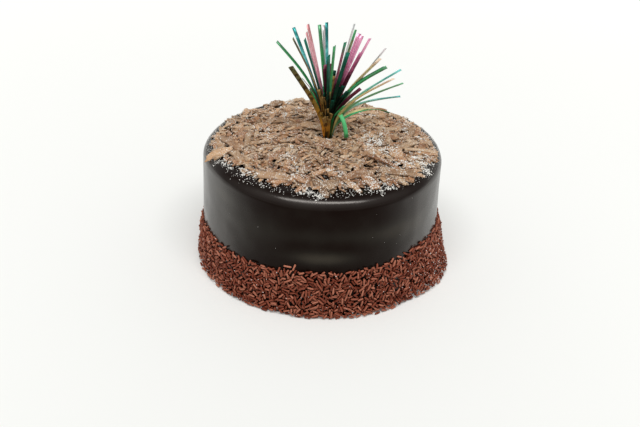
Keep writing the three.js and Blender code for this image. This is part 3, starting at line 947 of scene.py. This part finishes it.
# Short strips in front that show the gold and the dark side of the foil.
STUBS = [
    ("bronze", -9, -14, 40, 15, 18), ("bronze", -6, -14, 34, -15, 20),
    ("bronze", -0.4, -14, 38, 0, 18), ("bronze", -2, -18, 26, 20, 14),
    ("bronze", 5, -17, 22, -20, 12), ("bronze", -12, -16, 22, 25, 12),
    ("bronze", 2, -20, 18, 0, 10), ("bronze", -5, -20, 17, 10, 10), ("bronze", 2.5, -12, 49, 5, 20),
    ("bronze", 0, -15, 30, 0, 12), ("bronze", -3, -22, 21, -10, 10),
    ("bronze", -7, -28, 22, 10, 10), ("dark", 8, -13, 42, 0, 22), ("dark", 11.6, -14, 44, 5, 22),
    ("dark", 16.7, -15, 41, -10, 22), ("dark", 22, -14, 38, 5, 20), ("dark", 3, -10, 52, -10, 22),
    ("purple", 23.4, -20, 49, -20, 22), ("purple", -4, -8, 52, 10, 22),
    ("purple", -0.3, -11, 57, 0, 24), ("purple", -3.3, -9, 55, 25, 24),
    ("rose", 16.6, -7, 66, 25, 24), ("green", 20, -16, 30, 10, 16), ("dark", -4.5, -12, 36, 60, 14),
    ("dark", 4.4, -17, 33, 30, 14),
]
# Which part of its colours each kind of short strip shows: below zero it shows more of the dark
# foot, which is painted shade inside the bundle.
STUB_SHADES = {"bronze": 0.0, "dark": -0.35, "purple": -0.3, "green": -0.2, "rose": -0.35}
# Strips that have bent right over: the tip from the pick's foot, the height of the crown, and the
# width.
DROOPS = [
    ("leaf", (13, -5, 3.5), 26, 2.8), ("yellow", (41, 33, 8), 17.5, 2.6),
    ("green", (43, 29, 8), 17.5, 1.5),
]
# Where strips leave the bundle: its radius, how fast it widens, and how soon a strip then turns.
NECK_RADIUS, NECK_FLARE, TURN_SHARE = 3, 0.25, 0.35
# Strips behind the others: their colours, how far left they start and how far round they go, how
# they lean back, their lengths and the height at which they leave the bundle.
REAR_KINDS = ("dark", "dark", "gold", "teal", "purple", "dark", "green", "pink")
REAR_START, REAR_RUN, REAR_BACK, REAR_LENGTHS, REAR_KNEE = -15, 34, (14, 40), (38, 46), 24
# Short strips that fill the middle of the spray.
FILLING_KINDS = ("dark", "gold", "green", "dark", "purple")
FILLING_COUNT, FILLING_LENGTHS, FILLING_KNEE = 24, (20, 36), 12
FILLING_LEANS, FILLING_BACK = (-24, 26), (-10, 26)


def bezier(corners, count):
    """Points and directions along a cubic curve."""
    a, b, c, d = (np.array(corner, dtype=float) for corner in corners)
    t = np.linspace(0, 1, count)[:, None]
    points = a * (1 - t) ** 3 + 3 * b * t * (1 - t) ** 2 + 3 * c * t ** 2 * (1 - t) + d * t ** 3
    along = 3 * ((b - a) * (1 - t) ** 2 + 2 * (c - b) * t * (1 - t) + (d - c) * t ** 2)
    return points, along / np.linalg.norm(along, axis=1, keepdims=True)


def strip_corners(lean, back, length, knee):
    """The curve of a strip: up the bundle to its knee, and then on to its tip."""
    lean, back = math.radians(lean), math.radians(back)
    aim = np.array([math.sin(lean), math.cos(lean) * math.sin(back),
                    math.cos(lean) * math.cos(back)])
    outward = aim * (1, 1, 0)
    start = outward * NECK_RADIUS + (0, 0, FOIL_WIDTH / 2)
    bend = outward * (NECK_RADIUS + NECK_FLARE * knee) + (0, 0, knee)
    tip = aim * length
    return start, bend, bend + (tip - bend) * TURN_SHARE, tip


def droop_corners(tip, crown):
    """The curve of a strip that rises to its crown and hangs down to its tip."""
    tip = np.array(tip)
    return (tip * (0.05, 0.05, 0) + (0, 0, FOIL_WIDTH / 2), tip * (0.1, 0.1, 0) + (0, 0, crown),
            tip * (0.75, 0.75, 0) + (0, 0, crown), tip)


def ribbon(random, corners, turn, width=FOIL_WIDTH, steps=22):
    """A thin closed ribbon along the curve, a little folded down its middle and twisted."""
    centre, along = bezier(corners, steps)
    turns = math.radians(turn) + np.cumsum(random.normal(0, 0.03, steps))
    front = np.column_stack([np.cos(turns), np.sin(turns), np.zeros(steps)])
    across = front - along * (front * along).sum(axis=1, keepdims=True)
    across /= np.linalg.norm(across, axis=1, keepdims=True)
    through = np.cross(along, across)
    fold = random.uniform(-0.25, 0.25)
    rows = []
    for offset in (-1.0, 0.0, 1.0):
        rows.append(centre + across * offset * width / 2 + through * fold * (1 - abs(offset)))
    middle = np.stack(rows, axis=1)
    half = through[:, None, :] * (FOIL_THICKNESS / 2)
    points = np.concatenate([(middle + half).reshape(-1, 3), (middle - half).reshape(-1, 3)])
    share = np.tile(np.repeat(np.linspace(0, 1, steps), 3), 2)
    return points + PICK_FOOT, slab_faces(3, steps), share


def foil_pieces():
    random = np.random.default_rng(3)
    heaps = {kind: Heap() for kind in FOILS}

    def lay(kind, corners, turn, width=FOIL_WIDTH, shade=0.0):
        points, faces, share = ribbon(random, corners, turn, width)
        heaps[kind].add(points, faces, shade=share + shade)

    for kind, lean, back, length, turn, knee in STRIPS:
        width = WIDE_STRIPS.get(kind, FOIL_WIDTH) * random.uniform(0.85, 1.1)
        lay(kind, strip_corners(lean, back, length, knee), turn, width)
    for kind, lean, back, length, turn, knee in STUBS:
        lay(kind, strip_corners(lean, back, length, knee), turn, WIDE_STRIPS.get(kind, FOIL_WIDTH),
            STUB_SHADES[kind])
    for kind, tip, crown, width in DROOPS:
        lay(kind, droop_corners(tip, crown), 0, width)
    for i, kind in enumerate(REAR_KINDS):
        lean = REAR_START + REAR_RUN * (i + 0.5) / len(REAR_KINDS)
        back = random.uniform(*REAR_BACK)
        length = random.uniform(*REAR_LENGTHS)
        lay(kind, strip_corners(lean, back, length, REAR_KNEE), random.uniform(0, 180))
    for i in range(FILLING_COUNT):
        kind = FILLING_KINDS[i % len(FILLING_KINDS)]
        length = random.uniform(*FILLING_LENGTHS)
        lean = random.uniform(*FILLING_LEANS)
        back = random.uniform(*FILLING_BACK)
        lay(kind, strip_corners(lean, back, length, FILLING_KNEE), random.uniform(0, 180))
    for kind, heap in heaps.items():
        name = "foil_" + kind
        heap.piece(name, foil_look(kind), FOIL_SLOTS.get(kind, name), "foil_pick")


def stick_piece():
    outline = [(STICK_TIP, -STICK_DEPTH), (STICK_RADIUS, STICK_POINT - STICK_DEPTH),
               (STICK_RADIUS, 1.0)]
    points = []
    for radius, z in outline:
        for step in range(STICK_SIDES):
            turn = FULL_TURN * step / STICK_SIDES
            points.append(PICK_FOOT + (radius * math.cos(turn), radius * math.sin(turn), z))
    make_piece("pick_stick", points, tube_faces(STICK_SIDES, len(outline)), wood_look(),
               "pick_stick", "foil_pick", smooth=False)


# ---- The room ----

# The floor, in metres: half its side, and the place round which its painted glow is weakest.
FLOOR_HALF = 6
FLOOR_DIM_AT = (0, -0.3, 0)


def add_floor():
    """A white table that a painted glow makes a little brighter away from the front, as in a white
    studio.
    """
    look = Look("floor", Base_Color=(0.8, 0.805, 0.785, 1), Roughness=0.9,
                Emission_Color=(1, 1, 0.975, 1))
    shifted = look.node("ShaderNodeVectorMath", Vector=look.place())
    shifted.operation = "DISTANCE"
    shifted.inputs[1].default_value = FLOOR_DIM_AT
    # The painted glow: none near the front, growing further away.
    look.set("Emission Strength", look.span(shifted.outputs["Value"], 0.0, 0.5, 0.1, 1.3))
    mesh = bpy.data.meshes.new("floor")
    half = FLOOR_HALF
    corners = [(-half, -half, 0), (half, -half, 0), (half, half, 0), (-half, half, 0)]
    mesh.from_pydata(corners, [], [(0, 1, 2, 3)])
    mesh.materials.append(look.material)
    floor = bpy.data.objects.new("floor", mesh)
    bpy.context.scene.collection.objects.link(floor)


def add_light(name, place, aim, size, power):
    light = bpy.data.lights.new(name, "AREA")
    light.shape = "RECTANGLE"
    light.size, light.size_y = size
    light.energy = power
    lamp = bpy.data.objects.new(name, light)
    lamp.location = place
    lamp.rotation_euler = (Vector(aim) - Vector(place)).to_track_quat("-Z", "Y").to_euler()
    bpy.context.scene.collection.objects.link(lamp)


def add_camera():
    forward = Vector((0, math.cos(CAMERA_ELEVATION), -math.sin(CAMERA_ELEVATION)))
    level = Vector((1, 0, 0))
    upright = level.cross(forward)
    right = math.cos(CAMERA_ROLL) * level + math.sin(CAMERA_ROLL) * upright
    up = math.cos(CAMERA_ROLL) * upright - math.sin(CAMERA_ROLL) * level
    camera = bpy.data.objects.new("camera", bpy.data.cameras.new("camera"))
    camera.data.lens = CAMERA_LENS
    camera.data.sensor_width = SENSOR_WIDTH
    place = (CAMERA_TARGET - forward * CAMERA_DISTANCE) * MM
    rotation = Matrix((right, up, -forward)).transposed().to_4x4()
    camera.matrix_world = Matrix.Translation(place) @ rotation
    bpy.context.scene.collection.objects.link(camera)
    bpy.context.scene.camera = camera


def add_world(strength):
    world = bpy.data.worlds.new("world")
    world.use_nodes = True
    background = world.node_tree.nodes["Background"]
    background.inputs["Color"].default_value = (1.0, 1.0, 0.985, 1)
    background.inputs["Strength"].default_value = strength
    bpy.context.scene.world = world


glaze_piece()
top_field = TopField()
shavings_piece(top_field)
wall_field = WallField()
sprinkles_pieces(wall_field)
sugar_piece(top_field, wall_field)
foil_pieces()
stick_piece()

add_floor()
add_light("overhead", (0.03, -0.6, 1.35), (0, 0, 0.05), (1.45, 0.36), 16)
add_world(0.52)
add_camera()
bpy.context.scene.view_settings.view_transform = "Standard"
